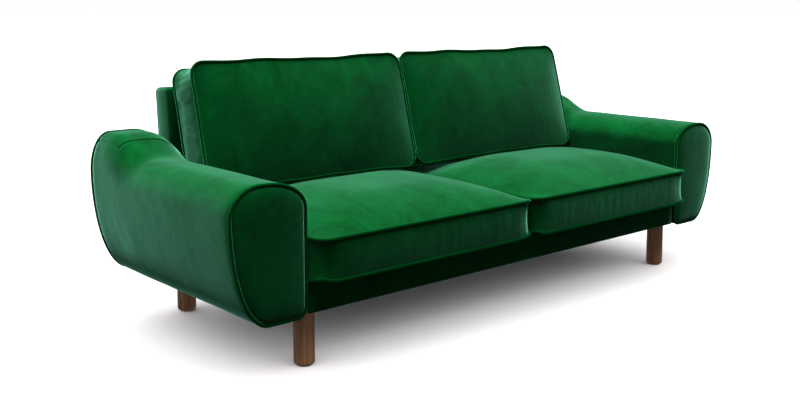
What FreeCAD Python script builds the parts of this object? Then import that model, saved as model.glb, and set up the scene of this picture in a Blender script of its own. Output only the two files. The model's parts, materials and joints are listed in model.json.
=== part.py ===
import FreeCAD, Part
import math
import os

from FreeCAD import Vector

# Two-seat sofa on four round wooden legs. Millimetres, +Z up, +X along the width, and the
# front faces -Y. "left" is the -X side. The origin is on the floor, at the middle of the box.
os.makedirs("parts", exist_ok=True)

# ---- overall sizes -------------------------------------------------------------------------
width = 2200.0
arm_depth = 812.0
arm_width = 243.0
arm_top = 540.0
shoulder_rise = 62.0
shoulder_length = 250.0
clear_height = 156.0
cushion_overhang = 57.0

# ---- arm section ---------------------------------------------------------------------------
crown_flat_width = 20.0
oval_share = 0.435
inner_crown_height = 77.0
outer_crown_width = 95.0
outer_crown_height = 85.0
keel_width = 117.0
keel_corner = 20.0
shoulder_crown_shift = 30.0
shoulder_drop_shift = 28.0
front_panel_bulge = 14.0
front_panel_edge_radius = 10.0
rear_panel_thickness = 5.0
arm_sections = 16
cover_thickness = 3.0
arm_foam_thickness = 9.0
former_thickness = 18.0
rear_former_step = 2.0
inner_board_thickness = 15.0
bent_ply_thickness = 4.0

# ---- base ----------------------------------------------------------------------------------
base_lift = 6.0
rail_height = 69.0
front_rail_thickness = 25.0
rear_rail_thickness = 25.0
end_rail_thickness = 18.0
centre_rail_thickness = 30.0
front_pad_thickness = 12.0
front_pad_edge_radius = 11.0
front_pad_end_gap = 7.0
front_pad_lip = 28.0
front_pad_lip_thickness = 4.5
deck_thickness = 14.0
dust_cover_thickness = 1.0
corner_block_size = 100.0
corner_block_height = 40.0

# ---- springs -------------------------------------------------------------------------------
springs_per_seat = 4
spring_wire_radius = 2.0
spring_reach = 14.0
spring_pitch = 62.0
clip_width = 24.0
clip_depth = 14.0

# ---- legs ----------------------------------------------------------------------------------
leg_radius = 30.0
leg_edge_radius = 9.0
leg_tuck = 1.0
front_leg_setback = 60.0
rear_leg_ahead = 90.0
glide_thickness = 3.0
plate_margin = 3.0
plate_thickness = 4.0
leg_bolt_radius = 4.0
leg_bolt_depth = 40.0
plate_screw_radius = 2.0
plate_screw_length = 25.0
plate_screw_edge = 7.0
screw_head_radius = 3.6
screw_head_height = 2.0

# ---- arm bolts -----------------------------------------------------------------------------
arm_bolt_radius = 4.0
arm_bolt_head_radius = 9.0
arm_bolt_head_height = 5.0
arm_bolts_per_arm = 3
arm_bolt_margin = 120.0

# ---- back frame ----------------------------------------------------------------------------
back_height = 735.0
back_lean = 4.0
back_thickness = 90.0
back_foot_ahead = 84.0
back_foam_thickness = 14.0
outer_panel_thickness = 6.0
outer_panel_slack = 7.0
back_edge_radius = 13.0
post_width = 45.0
post_depth = 60.0
back_rail_height = 70.0
back_rail_thickness = 25.0
lower_rail_lift = 60.0
strap_count = 5
strap_width = 60.0
strap_thickness = 2.5

# ---- cushions ------------------------------------------------------------------------------
piping_radius = 3.5
cushion_cover_thickness = 5.0
seat_box_height = 122.0
seat_crown_height = 67.0
seat_crown_reach = 150.0
seat_corner_radius = 40.0
seat_rear_crown = 3.0
seat_rear_flat = 84.0
seat_slope_ahead = 166.0
seat_rear_gap = 12.0
back_cushion_lean = 15.3
back_cushion_height = 418.0
back_cushion_thickness = 120.0
back_cushion_crown = 28.0
back_cushion_crown_reach = 140.0
back_cushion_corner_radius = 45.0
back_cushion_room = 99.0
back_cushion_rest_gap = 2.5

# ---- clearances ----------------------------------------------------------------------------
side_gap = 1.0
panel_gap = 1.2
fit_gap = 0.2
hole_gap = 0.1
cushion_gap = 0.5

# ---- heights worked out from the sizes -------------------------------------------------------
base_bottom = clear_height + base_lift
wood_bottom = base_bottom + front_pad_lip_thickness + fit_gap
plate_bottom = wood_bottom - plate_thickness
rail_top = wood_bottom + rail_height
deck_bottom = rail_top + 2 * spring_wire_radius + fit_gap
deck_top = deck_bottom + deck_thickness
seat_bottom = deck_top + cushion_gap
seat_top = seat_bottom + seat_box_height

# ---- depths worked out from the sizes --------------------------------------------------------
lean_angle = math.radians(back_lean)
front_reach = cushion_overhang + piping_radius
back_foot_setback = arm_depth - back_foot_ahead
back_rear_setback = (back_foot_setback + back_thickness * math.cos(lean_angle)
                     + (back_height - deck_bottom) * math.tan(lean_angle))
front_y = (front_reach - back_rear_setback) / 2
rear_y = front_y + arm_depth
front_rail_front = front_y + front_pad_thickness
front_rail_back = front_rail_front + front_rail_thickness
back_foot_y = front_y + back_foot_setback
rear_rail_back = back_foot_y + back_thickness - outer_panel_thickness - outer_panel_slack
rear_rail_front = rear_rail_back - rear_rail_thickness
leg_rows = {"front": front_y + front_leg_setback, "rear": rear_y - rear_leg_ahead}

# ---- widths worked out from the sizes --------------------------------------------------------
half_width = width / 2
arm_inner = half_width - arm_width
back_half = arm_inner - side_gap
end_rail_outer = arm_inner - side_gap
end_rail_inner = end_rail_outer - end_rail_thickness
ply_inset = cover_thickness + arm_foam_thickness
leg_x = arm_inner + leg_tuck - leg_radius
plate_half = leg_radius - plate_margin


def save(name, shape):
    """Write one named piece, a solid or a group of separate solids, as its own STEP file."""
    solids = shape.Solids
    shape = solids[0] if len(solids) == 1 else Part.makeCompound(solids)
    shape.exportStep("parts/" + name + ".step")


def box(x0, x1, y0, y1, z0, z1):
    """A block between two opposite corners."""
    return Part.makeBox(x1 - x0, y1 - y0, z1 - z0, Vector(x0, y0, z0))


def mirrored(shape):
    """The same shape on the other side of the sofa's middle plane."""
    return shape.mirror(Vector(0, 0, 0), Vector(1, 0, 0))


def both_sides(shape):
    """A shape and its mirror image as one group of separate solids."""
    return Part.makeCompound([mirrored(shape), shape])


def line(a, b):
    return Part.makeLine(a, b)


def arc_inside(start, corner, end):
    """The arc from start to end whose end tangents meet at corner."""
    middle = (start + end) / 2
    slant = (middle - start).Length / (corner - start).Length
    crest = middle + (corner - middle) * (slant / (1 + slant))
    return Part.Arc(start, crest, end).toShape()


def quarter_oval(start, corner, end):
    """A quarter of an oval, as two tangent arcs, in the corner of two sides at a right angle."""
    first = (corner - start).Length
    last = (end - corner).Length
    along = (corner - start) / first
    across = (end - corner) / last
    longer, shorter = max(first, last), min(first, last)
    near = oval_share * longer
    far = (first * first + last * last - 2 * longer * near) / (2 * (shorter + near))
    from_start, to_end = (near, far) if first >= last else (far, near)
    entry = start + along * from_start
    leave = end - across * to_end
    joint = entry + (leave - entry) * (from_start / (from_start + to_end))
    return [arc_inside(start, entry, joint), arc_inside(joint, leave, end)]


def tube(path, radius):
    """A round cord of the given radius that follows a closed or open wire."""
    start = path.OrderedEdges[0]
    first = start.FirstParameter if start.Orientation == "Forward" else start.LastParameter
    point = start.valueAt(first)
    circle = Part.makeCircle(radius, point, start.tangentAt(first))
    return path.makePipeShell([Part.Wire([circle])], True, False)


def rod(start, direction, radius, length):
    return Part.makeCylinder(radius, length, start, direction)


# ---- arms ----------------------------------------------------------------------------------
def shoulder_at(y):
    """How far the shoulder has risen at depth y, from 0 on the flat arm to 1 at the rear."""
    share = (y - (rear_y - shoulder_length)) / shoulder_length
    share = min(max(share, 0.0), 1.0)
    return share * share * (3 - 2 * share)


def arm_outline(y, rise, inset):
    """The right arm's closed outline at depth y, drawn inset from its outer surface."""
    inner = arm_inner + inset
    outer = half_width - inset
    bottom = clear_height + inset
    top = arm_top + rise * shoulder_rise - inset
    inner_spring = arm_top - inner_crown_height + rise * (shoulder_rise - shoulder_drop_shift)
    outer_spring = arm_top - outer_crown_height + rise * shoulder_drop_shift
    crown_start = half_width - outer_crown_width - crown_flat_width
    crown_end = half_width - outer_crown_width + rise * shoulder_crown_shift
    keel = half_width - keel_width
    corner = max(keel_corner - inset, 2.0)

    def at(x, z):
        return Vector(x, y, z)

    edges = [
        line(at(inner, bottom + corner), at(inner, inner_spring)),
        *quarter_oval(at(inner, inner_spring), at(inner, top), at(crown_start, top)),
        line(at(crown_start, top), at(crown_end, top)),
        *quarter_oval(at(crown_end, top), at(outer, top), at(outer, outer_spring)),
        *quarter_oval(at(outer, outer_spring), at(outer, bottom), at(keel, bottom)),
        line(at(keel, bottom), at(inner + corner, bottom)),
        *quarter_oval(at(inner + corner, bottom), at(inner, bottom), at(inner, bottom + corner)),
    ]
    return Part.Wire(edges)


def arm_slab(y0, y1, rise, inset):
    """A straight length of the arm with one outline."""
    return Part.Face(arm_outline(y0, rise, inset)).extrude(Vector(0, y1 - y0, 0))


def arm_body(y0, y1, inset):
    """The whole arm between two depths, with the shoulder rising smoothly towards the rear."""
    steps = range(arm_sections + 1)
    depths = [y0 + (y1 - y0) * step / arm_sections for step in steps]
    outlines = [arm_outline(y, shoulder_at(y), inset) for y in depths]
    return Part.makeLoft(outlines, True, False)


def arm_pieces():
    """Every piece of the right arm, by the last part of its name."""
    start = front_y + piping_radius
    end = rear_y - piping_radius
    front_former = arm_slab(start, start + former_thickness, 0, ply_inset)
    rear_former = arm_slab(end - former_thickness, end, 1, ply_inset + rear_former_step)
    core = arm_slab(start, end - former_thickness, 0, ply_inset)
    between = (start + former_thickness, end - former_thickness)
    board_inner = arm_inner + ply_inset
    board_outer = board_inner + inner_board_thickness
    board_top = arm_top - inner_crown_height
    board_bottom = clear_height + keel_corner
    inner_board = box(board_inner, board_outer, *between, board_bottom, board_top)
    bent = arm_slab(*between, 0, ply_inset)
    bent = bent.cut(arm_slab(*between, 0, ply_inset + bent_ply_thickness))
    opening = box(arm_inner, board_outer + fit_gap, *between, 0, board_top + fit_gap)
    outside = arm_body(start, end, 0)
    lining = arm_body(start, end, cover_thickness)
    cover = outside.cut(lining)
    foam = arm_body(start, end, cover_thickness + fit_gap).cut(core).cut(rear_former)
    panel_inset = 2 * piping_radius + panel_gap
    front_panel = arm_slab(front_y - front_panel_bulge, start, 0, panel_inset)
    rim = [edge for edge in front_panel.Edges
           if edge.BoundBox.YMax < front_y - front_panel_bulge + fit_gap]
    front_panel = front_panel.makeFillet(front_panel_edge_radius, rim)
    rear_panel = arm_slab(end, end + rear_panel_thickness, 1, panel_inset)
    rings = [tube(arm_outline(front_y, 0, piping_radius), piping_radius),
             tube(arm_outline(rear_y, 1, piping_radius), piping_radius)]
    return {
        "cover": cover,
        "foam": foam,
        "front_panel": front_panel,
        "rear_panel": rear_panel,
        "piping": Part.makeCompound(rings),
        "front_former": front_former,
        "rear_former": rear_former,
        "inner_board": inner_board,
        "bent_plywood": bent.cut(opening),
    }


def arm_bolt_places():
    """Depths of the bolts that hold one arm to the base."""
    first = front_rail_back + arm_bolt_margin
    last = rear_rail_front - arm_bolt_margin
    gaps = arm_bolts_per_arm - 1
    return [first + (last - first) * number / gaps for number in range(arm_bolts_per_arm)]


def arm_bolts(extra):
    """Round-head bolts from inside the base into the right arm's inner board."""
    height = wood_bottom + rail_height / 2
    tip = arm_inner + ply_inset + inner_board_thickness
    bolts = []
    for y in arm_bolt_places():
        start = Vector(end_rail_inner, y, height)
        shank = rod(start, Vector(1, 0, 0), arm_bolt_radius + extra, tip - end_rail_inner)
        head = rod(start, Vector(-1, 0, 0), arm_bolt_head_radius, arm_bolt_head_height)
        bolts.append(shank.fuse(head).removeSplitter())
    return bolts


def make_arms():
    right = arm_pieces()
    for hole in arm_bolts(hole_gap):
        for name in ("cover", "foam", "inner_board"):
            right[name] = right[name].cut(hole)
    for name, shape in right.items():
        save("right_arm_" + name, shape)
        save("left_arm_" + name, mirrored(shape))
    save("arm_bolts", both_sides(Part.makeCompound(arm_bolts(0))))


# ---- legs ----------------------------------------------------------------------------------
def leg_shape(x, y):
    """A turned leg with a rounded foot and a blind hole for its hanger bolt."""
    leg = rod(Vector(x, y, glide_thickness), Vector(0, 0, 1), leg_radius,
              plate_bottom - glide_thickness)
    foot = [edge for edge in leg.Edges if edge.BoundBox.ZMax < glide_thickness + fit_gap]
    leg = leg.makeFillet(leg_edge_radius, foot)
    hole = rod(Vector(x, y, plate_bottom - leg_bolt_depth), Vector(0, 0, 1),
               leg_bolt_radius + hole_gap, leg_bolt_depth)
    return leg.cut(hole)


def leg_bolt(x, y, extra):
    top = wood_bottom + corner_block_height
    bottom = plate_bottom - leg_bolt_depth
    return rod(Vector(x, y, bottom), Vector(0, 0, 1), leg_bolt_radius + extra, top - bottom)


def plate_screws(x, y, extra):
    """Four countersunk screws that hold one leg plate."""
    screws = []
    half = plate_half - plate_screw_edge
    for dx in (-half, half):
        for dy in (-half, half):
            place = Vector(x + dx, y + dy, plate_bottom)
            shank = rod(place, Vector(0, 0, 1), plate_screw_radius + extra, plate_screw_length)
            head = Part.makeCone(screw_head_radius + extra, plate_screw_radius + extra,
                                 screw_head_height, place)
            screws.append(shank.fuse(head).removeSplitter())
    return screws


def make_legs():
    plates = []
    bolts = []
    glides = []
    screws = []
    glide_radius = leg_radius - leg_edge_radius
    for row, y in leg_rows.items():
        for side, x in (("left", -leg_x), ("right", leg_x)):
            save(row + "_" + side + "_leg", leg_shape(x, y))
            plate = box(x - plate_half, x + plate_half, y - plate_half, y + plate_half,
                        plate_bottom, wood_bottom)
            plate = plate.cut(leg_bolt(x, y, hole_gap))
            for hole in plate_screws(x, y, hole_gap):
                plate = plate.cut(hole)
            plates.append(plate)
            bolts.append(leg_bolt(x, y, 0))
            screws.extend(plate_screws(x, y, 0))
            glides.append(rod(Vector(x, y, 0), Vector(0, 0, 1), glide_radius, glide_thickness))
    save("leg_plates", Part.makeCompound(plates))
    save("leg_hanger_bolts", Part.makeCompound(bolts))
    save("leg_plate_screws", Part.makeCompound(screws))
    save("leg_glides", Part.makeCompound(glides))


# ---- base ----------------------------------------------------------------------------------
def leg_holes():
    """Clearance for the leg bolts and plate screws in the wood above the legs."""
    holes = []
    for y in leg_rows.values():
        for x in (-leg_x, leg_x):
            holes.append(leg_bolt(x, y, hole_gap))
            holes.extend(plate_screws(x, y, hole_gap))
    return Part.makeCompound(holes)


def corner_block(y, towards):
    """A glued gusset block in one corner of the base, with its inner corner cut off."""
    x = end_rail_inner
    far = x - corner_block_size
    cut = corner_block_size / 2
    points = [Vector(x, y, wood_bottom), Vector(far, y, wood_bottom),
              Vector(far, y + towards * cut, wood_bottom),
              Vector(x - cut, y + towards * corner_block_size, wood_bottom),
              Vector(x, y + towards * corner_block_size, wood_bottom)]
    outline = Part.makePolygon(points + points[:1])
    return Part.Face(outline).extrude(Vector(0, 0, corner_block_height))


def front_pad():
    """The padded cover that wraps the front rail, in a C open to the rear."""
    reach = end_rail_outer + side_gap - front_pad_end_gap
    back = front_rail_back + side_gap
    pad = box(-reach, reach, front_y, back, base_bottom, deck_top)
    corners = [edge for edge in pad.Edges if edge.BoundBox.YMax < front_y + fit_gap]
    pad = pad.makeFillet(front_pad_edge_radius, corners)
    inside = box(-half_width, half_width, front_rail_front, back, wood_bottom, deck_bottom)
    lip_end = box(-half_width, half_width, front_y + front_pad_lip, back, base_bottom, wood_bottom)
    return pad.cut(inside).cut(lip_end)


def make_base():
    end_rail = box(end_rail_inner, end_rail_outer, front_rail_front, rear_rail_back,
                   wood_bottom, rail_top)
    for hole in arm_bolts(hole_gap):
        end_rail = end_rail.cut(hole)
    holes = leg_holes()
    end_rail = end_rail.cut(holes)
    save("right_end_rail", end_rail)
    save("left_end_rail", mirrored(end_rail))
    save("front_rail", box(-end_rail_inner, end_rail_inner, front_rail_front, front_rail_back,
                           wood_bottom, rail_top).cut(holes))
    save("rear_rail", box(-end_rail_inner, end_rail_inner, rear_rail_front, rear_rail_back,
                          wood_bottom, rail_top).cut(holes))
    half = centre_rail_thickness / 2
    save("centre_rail", box(-half, half, front_rail_back, rear_rail_front, wood_bottom, rail_top))
    blocks = [corner_block(front_rail_back, 1), corner_block(rear_rail_front, -1)]
    blocks = Part.makeCompound([block.cut(holes) for block in blocks])
    save("corner_blocks", both_sides(blocks))
    save("front_rail_cover", front_pad())
    deck_front = front_rail_back + side_gap + fit_gap
    save("seat_deck", box(-end_rail_outer, end_rail_outer, deck_front, back_foot_y - side_gap,
                          deck_bottom, deck_top))
    sheet = box(-end_rail_outer, end_rail_outer, front_y + front_pad_lip + side_gap,
                rear_rail_back, wood_bottom - dust_cover_thickness, wood_bottom)
    reach = plate_half + side_gap
    for y in leg_rows.values():
        for x in (-leg_x, leg_x):
            window = box(x - reach, x + reach, y - reach, y + reach, 0, wood_bottom)
            sheet = sheet.cut(window)
    save("dust_cover", sheet)


# ---- springs -------------------------------------------------------------------------------
def spring_places():
    """Where the springs lie across the width: evenly within each seat."""
    inner = centre_rail_thickness
    outer = end_rail_inner - post_width
    gap = (outer - inner) / springs_per_seat
    right = [inner + gap * (number + 0.5) for number in range(springs_per_seat)]
    return [-x for x in reversed(right)] + right


def spring_path(x, y0, y1, z):
    """A flat zigzag of straight runs joined by half circles, from y0 to y1."""
    turns = max(2, round((y1 - y0) / spring_pitch))
    pitch = (y1 - y0) / turns
    edges = []
    side = 1
    for number in range(turns + 1):
        y = y0 + number * pitch
        a = Vector(x - side * spring_reach, y, z)
        b = Vector(x + side * spring_reach, y, z)
        edges.append(line(a, b))
        if number < turns:
            mid = Vector(b.x + side * pitch / 2, y + pitch / 2, z)
            edges.append(Part.Arc(b, mid, Vector(b.x, y + pitch, z)).toShape())
        side = -side
    return Part.Wire(edges)


def spring_clip(x, y, z):
    """A steel clip on a rail, with a channel for the spring's end."""
    clip = box(x - clip_width / 2, x + clip_width / 2, y - clip_depth / 2, y + clip_depth / 2,
               rail_top, deck_bottom)
    channel = rod(Vector(x - clip_width, y, z), Vector(1, 0, 0),
                  spring_wire_radius + hole_gap, 2 * clip_width)
    return clip.cut(channel)


def make_springs():
    z = rail_top + spring_wire_radius + hole_gap
    y0 = front_rail_front + front_rail_thickness / 2
    y1 = rear_rail_front + rear_rail_thickness / 2
    springs = []
    clips = []
    for x in spring_places():
        springs.append(tube(spring_path(x, y0, y1, z), spring_wire_radius))
        for y in (y0, y1):
            clips.extend(spring_clip(x, y, z).Solids[:1])
    save("seat_springs", Part.makeCompound(springs))
    save("spring_clips", Part.makeCompound(clips))


# ---- back frame ----------------------------------------------------------------------------
def leaned(shape, angle, y, z):
    """A shape drawn upright at the origin, leaned back and set down at depth y, height z."""
    moved = shape.copy()
    moved.rotate(Vector(0, 0, 0), Vector(1, 0, 0), -angle)
    moved.translate(Vector(0, y, z))
    return moved


def above(height, shape):
    """The part of a shape over a given height."""
    return shape.common(box(-half_width, half_width, -width, width, height, width))


def in_back(shape):
    return leaned(shape, back_lean, back_foot_y, deck_bottom)


def back_slab_height():
    return (back_height - deck_bottom) / math.cos(lean_angle)


def make_back():
    top = back_slab_height()
    under = -back_thickness
    panel_front = back_thickness - outer_panel_thickness
    body = box(-back_half, back_half, 0, panel_front, under, top)
    edges = [edge for edge in body.Edges
             if edge.BoundBox.ZMin > top - fit_gap and edge.BoundBox.YMax < fit_gap]
    edges += [edge for edge in body.Edges
              if edge.BoundBox.ZMin > top - fit_gap and edge.BoundBox.XLength < fit_gap]
    body = body.makeFillet(back_edge_radius, edges)
    room_half = back_half - back_foam_thickness
    room_top = top - back_foam_thickness
    room = box(-room_half, room_half, back_foam_thickness, panel_front, under, room_top)
    save("back_cover", above(deck_bottom, in_back(body.cut(room))))
    panel = box(-back_half, back_half, panel_front, back_thickness, base_bottom - deck_top, top)
    corners = [edge for edge in panel.Edges
               if edge.BoundBox.ZMin > top - fit_gap and edge.BoundBox.XLength < fit_gap]
    panel = panel.makeFillet(back_edge_radius, corners)
    save("back_outer_panel", above(base_bottom, in_back(panel)))
    post_front = panel_front - post_depth
    side_post = box(room_half - post_width, room_half, post_front, panel_front, under, room_top)
    middle_post = box(-post_width / 2, post_width / 2, post_front, panel_front, under, room_top)
    right_post = above(rail_top, in_back(side_post))
    save("back_right_post", right_post)
    save("back_left_post", mirrored(right_post))
    save("back_centre_post", above(rail_top, in_back(middle_post)))
    rail_front = post_front + (post_depth - back_rail_thickness) / 2
    rails = {"back_top_rail": room_top - back_rail_height, "back_lower_rail": lower_rail_lift}
    for name, low in rails.items():
        bay = box(post_width / 2, room_half - post_width, rail_front,
                  rail_front + back_rail_thickness, low, low + back_rail_height)
        save(name, both_sides(in_back(bay)))
    straps = []
    gap = (room_top - 2 * lower_rail_lift) / strap_count
    for number in range(strap_count):
        low = lower_rail_lift + gap * number
        straps.append(in_back(box(-room_half, room_half, post_front - strap_thickness, post_front,
                                  low, low + strap_width)))
    save("back_webbing", Part.makeCompound(straps))


# ---- cushions ------------------------------------------------------------------------------
def rounded_rectangle(x0, x1, y0, y1, z, radius):
    """A closed plan outline with round corners."""
    corner = [(x1 - radius, y0 + radius, -90), (x1 - radius, y1 - radius, 0),
              (x0 + radius, y1 - radius, 90), (x0 + radius, y0 + radius, 180)]
    arcs = [Part.makeCircle(radius, Vector(x, y, z), Vector(0, 0, 1), angle, angle + 90)
            for x, y, angle in corner]
    edges = []
    for number, arc in enumerate(arcs):
        following = arcs[(number + 1) % len(arcs)]
        edges.append(arc)
        edges.append(line(arc.valueAt(arc.LastParameter),
                          following.valueAt(following.FirstParameter)))
    return Part.Wire(edges)


def crown_across(x0, x1, y0, y1, low, seam, top, reach):
    """A long block whose top rises from the seam at both sides of its width."""
    def at(x, z):
        return Vector(x, y0, z)

    edges = [
        line(at(x0, seam), at(x0, low)),
        line(at(x0, low), at(x1, low)),
        line(at(x1, low), at(x1, seam)),
        *quarter_oval(at(x1, seam), at(x1, top), at(x1 - reach, top)),
        line(at(x1 - reach, top), at(x0 + reach, top)),
        *quarter_oval(at(x0 + reach, top), at(x0, top), at(x0, seam)),
    ]
    return Part.Face(Part.Wire(edges)).extrude(Vector(0, y1 - y0, 0))


def seat_limits():
    """Plan limits of the right seat cushion's seams."""
    return (piping_radius + side_gap, arm_inner - side_gap - piping_radius,
            front_y - cushion_overhang, back_foot_y - seat_rear_gap)


def back_cushion_foot():
    """Depth of the back cushion's front seam."""
    return back_foot_y - back_cushion_room - back_cushion_thickness


def seat_profile(x0, x1, y0, y1, inset):
    """The seat cushion's side view: crowned at the front, pressed flat under the back cushion."""
    low = seat_bottom + inset
    top = seat_top + seat_crown_height - inset
    rear = seat_top + seat_rear_crown - inset
    slope_start = back_cushion_foot() - seat_slope_ahead
    slope_end = y1 - seat_rear_flat
    slope_mid = (slope_start + slope_end) / 2

    def at(y, z):
        return Vector(x0, y, z)

    fall = Part.BezierCurve()
    fall.setPoles([at(slope_start, top), at(slope_mid, top), at(slope_mid, rear),
                   at(slope_end, rear)])
    edges = [
        line(at(y0, low), at(y0, seat_top)),
        *quarter_oval(at(y0, seat_top), at(y0, top), at(y0 + seat_crown_reach, top)),
        line(at(y0 + seat_crown_reach, top), at(slope_start, top)),
        fall.toShape(),
        line(at(slope_end, rear), at(y1, rear)),
        line(at(y1, rear), at(y1, low)),
        line(at(y1, low), at(y0, low)),
    ]
    return Part.Face(Part.Wire(edges)).extrude(Vector(x1 - x0, 0, 0))


def seat_block(inset):
    """The right seat cushion as one crowned block, inset from its outer surface."""
    x0, x1, y0, y1 = seat_limits()
    x0, x1, y0, y1 = x0 + inset, x1 - inset, y0 + inset, y1 - inset
    low = seat_bottom + inset
    top = seat_top + seat_crown_height
    plan = rounded_rectangle(x0, x1, y0, y1, low, seat_corner_radius - inset)
    block = Part.Face(plan).extrude(Vector(0, 0, top - low))
    across = crown_across(x0, x1, y0 - side_gap, y1 + side_gap, low - side_gap, seat_top,
                          top - inset, seat_crown_reach)
    return block.common(across).common(seat_profile(x0, x1, y0, y1, inset))


def seat_pieces():
    """Cover, foam core and piping of the right seat cushion."""
    x0, x1, y0, y1 = seat_limits()
    seams = [tube(rounded_rectangle(x0, x1, y0, y1, z, seat_corner_radius), piping_radius)
             for z in (seat_bottom + piping_radius, seat_top)]
    cover = seat_block(0).cut(seat_block(cushion_cover_thickness))
    for seam in seams:
        cover = cover.cut(seam)
    core = seat_block(cushion_cover_thickness + fit_gap)
    return {"cover": cover, "foam": core, "piping": Part.makeCompound(seams)}


def back_cushion_block(inset):
    """The right back cushion, standing upright with its front seam in the XZ plane."""
    x0, x1 = seat_limits()[:2]
    x0, x1 = x0 + inset, x1 - inset
    y0 = -back_cushion_crown
    y1 = back_cushion_thickness + back_cushion_crown
    z1 = back_cushion_height - inset
    plan = rounded_rectangle(x0, x1, inset, z1, 0, back_cushion_corner_radius - inset)
    plan.rotate(Vector(0, 0, 0), Vector(1, 0, 0), 90)
    block = Part.Face(plan).extrude(Vector(0, y1 - y0 + 2 * side_gap, 0))
    block.translate(Vector(0, y0 - side_gap, 0))
    for length_axis in ("width", "height"):
        crowned = pillow(x0, x1, inset, z1, y0 + inset, y1 - inset, length_axis)
        block = block.common(crowned)
    return block


def pillow(x0, x1, z0, z1, y0, y1, length_axis):
    """A long block, crowned on its front and rear faces across its width or its height."""
    reach = back_cushion_crown_reach
    front = 0.0
    back = back_cushion_thickness
    low, high = (x0, x1) if length_axis == "height" else (z0, z1)
    x0, x1, z0, z1 = x0 - side_gap, x1 + side_gap, z0 - side_gap, z1 + side_gap

    def at(across, y):
        if length_axis == "height":
            return Vector(across, y, z0)
        return Vector(x0, y, across)

    edges = [
        line(at(low, front), at(low - side_gap, front)),
        line(at(low - side_gap, front), at(low - side_gap, back)),
        line(at(low - side_gap, back), at(low, back)),
        *quarter_oval(at(low, back), at(low, y1), at(low + reach, y1)),
        line(at(low + reach, y1), at(high - reach, y1)),
        *quarter_oval(at(high - reach, y1), at(high, y1), at(high, back)),
        line(at(high, back), at(high + side_gap, back)),
        line(at(high + side_gap, back), at(high + side_gap, front)),
        line(at(high + side_gap, front), at(high, front)),
        *quarter_oval(at(high, front), at(high, y0), at(high - reach, y0)),
        line(at(high - reach, y0), at(low + reach, y0)),
        *quarter_oval(at(low + reach, y0), at(low, y0), at(low, front)),
    ]
    run = Vector(0, 0, z1 - z0) if length_axis == "height" else Vector(x1 - x0, 0, 0)
    return Part.Face(Part.Wire(edges)).extrude(run)


def back_cushion_rest():
    """Height of the back cushion's front lower seam, clear of the seat cushion below it."""
    drop = (back_cushion_thickness + piping_radius) * math.sin(math.radians(back_cushion_lean))
    return seat_top + seat_rear_crown + back_cushion_rest_gap + piping_radius + drop


def back_cushion_pieces():
    """Cover, filling and piping of the right back cushion, leaned against the back."""
    x0, x1 = seat_limits()[:2]
    seams = []
    for y in (0, back_cushion_thickness):
        ring = rounded_rectangle(x0, x1, 0, back_cushion_height, 0, back_cushion_corner_radius)
        ring.rotate(Vector(0, 0, 0), Vector(1, 0, 0), 90)
        ring.translate(Vector(0, y, 0))
        seams.append(tube(ring, piping_radius))
    cover = back_cushion_block(0).cut(back_cushion_block(cushion_cover_thickness))
    for seam in seams:
        cover = cover.cut(seam)
    pieces = {
        "cover": cover,
        "filling": back_cushion_block(cushion_cover_thickness + fit_gap),
        "piping": Part.makeCompound(seams),
    }
    return {name: leaned(shape, back_cushion_lean, back_cushion_foot(), back_cushion_rest())
            for name, shape in pieces.items()}


def make_cushions():
    for kind, pieces in (("seat", seat_pieces()), ("back", back_cushion_pieces())):
        for name, shape in pieces.items():
            save(kind + "_cushion_right_" + name, shape)
            save(kind + "_cushion_left_" + name, mirrored(shape))


make_arms()
make_legs()
make_base()
make_springs()
make_back()
make_cushions()
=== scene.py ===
# %% [markdown]
# A two-seat velvet sofa on four round walnut legs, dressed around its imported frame.
# The frame gives every place and size, so nothing is moved here: each soft part of the
# frame is replaced by a finished piece that sits exactly where it was. The joints stay with
# the frame, and a piece follows one of its bodies by name.

# %% Load the frame
import json
import math

import bmesh
import bpy
from mathutils import Matrix, Vector, noise


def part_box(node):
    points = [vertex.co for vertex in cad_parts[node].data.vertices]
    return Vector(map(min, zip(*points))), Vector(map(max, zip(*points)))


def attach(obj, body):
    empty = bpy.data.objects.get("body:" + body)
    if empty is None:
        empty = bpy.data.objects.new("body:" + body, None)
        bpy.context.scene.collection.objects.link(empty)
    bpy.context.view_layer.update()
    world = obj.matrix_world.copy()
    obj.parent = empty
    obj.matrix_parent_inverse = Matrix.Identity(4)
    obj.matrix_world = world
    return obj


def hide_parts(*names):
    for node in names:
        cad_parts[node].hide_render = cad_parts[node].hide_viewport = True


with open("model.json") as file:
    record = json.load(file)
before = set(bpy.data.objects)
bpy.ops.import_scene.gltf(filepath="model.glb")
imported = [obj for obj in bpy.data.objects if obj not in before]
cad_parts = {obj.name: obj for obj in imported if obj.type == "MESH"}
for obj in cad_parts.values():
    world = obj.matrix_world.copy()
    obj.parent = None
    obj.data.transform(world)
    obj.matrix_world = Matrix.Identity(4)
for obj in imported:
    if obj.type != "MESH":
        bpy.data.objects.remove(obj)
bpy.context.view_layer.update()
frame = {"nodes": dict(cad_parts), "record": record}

nodes = frame["nodes"]
scene = bpy.context.scene

# %% [markdown]
# A catalogue view is taken from one front corner, a little above the arms, with a medium
# long lens so that the far arm doesn't look small. The lens is shifted a little, as a
# studio camera's would be, so that the legs stay upright without tipping the camera down
# much. The camera's turn is built from its heading and its dip.

# %% Camera
camera_place = Vector((-2.4065, -2.5656, 1.0134))
camera_heading = math.radians(40.931)
camera_dip = math.radians(7.199)

camera_data = bpy.data.cameras.new("studio_camera")
camera_data.lens = 45.33
camera_data.sensor_width = 36.0
camera_data.shift_y = -0.1
camera_data.clip_end = 200.0
camera = bpy.data.objects.new("studio_camera", camera_data)
scene.collection.objects.link(camera)
camera.location = camera_place
camera.rotation_euler = (math.pi / 2 - camera_dip, 0.0, -camera_heading)
scene.camera = camera
scene.view_settings.view_transform = "Standard"
print("camera at", [round(v, 2) for v in camera.location])

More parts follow.
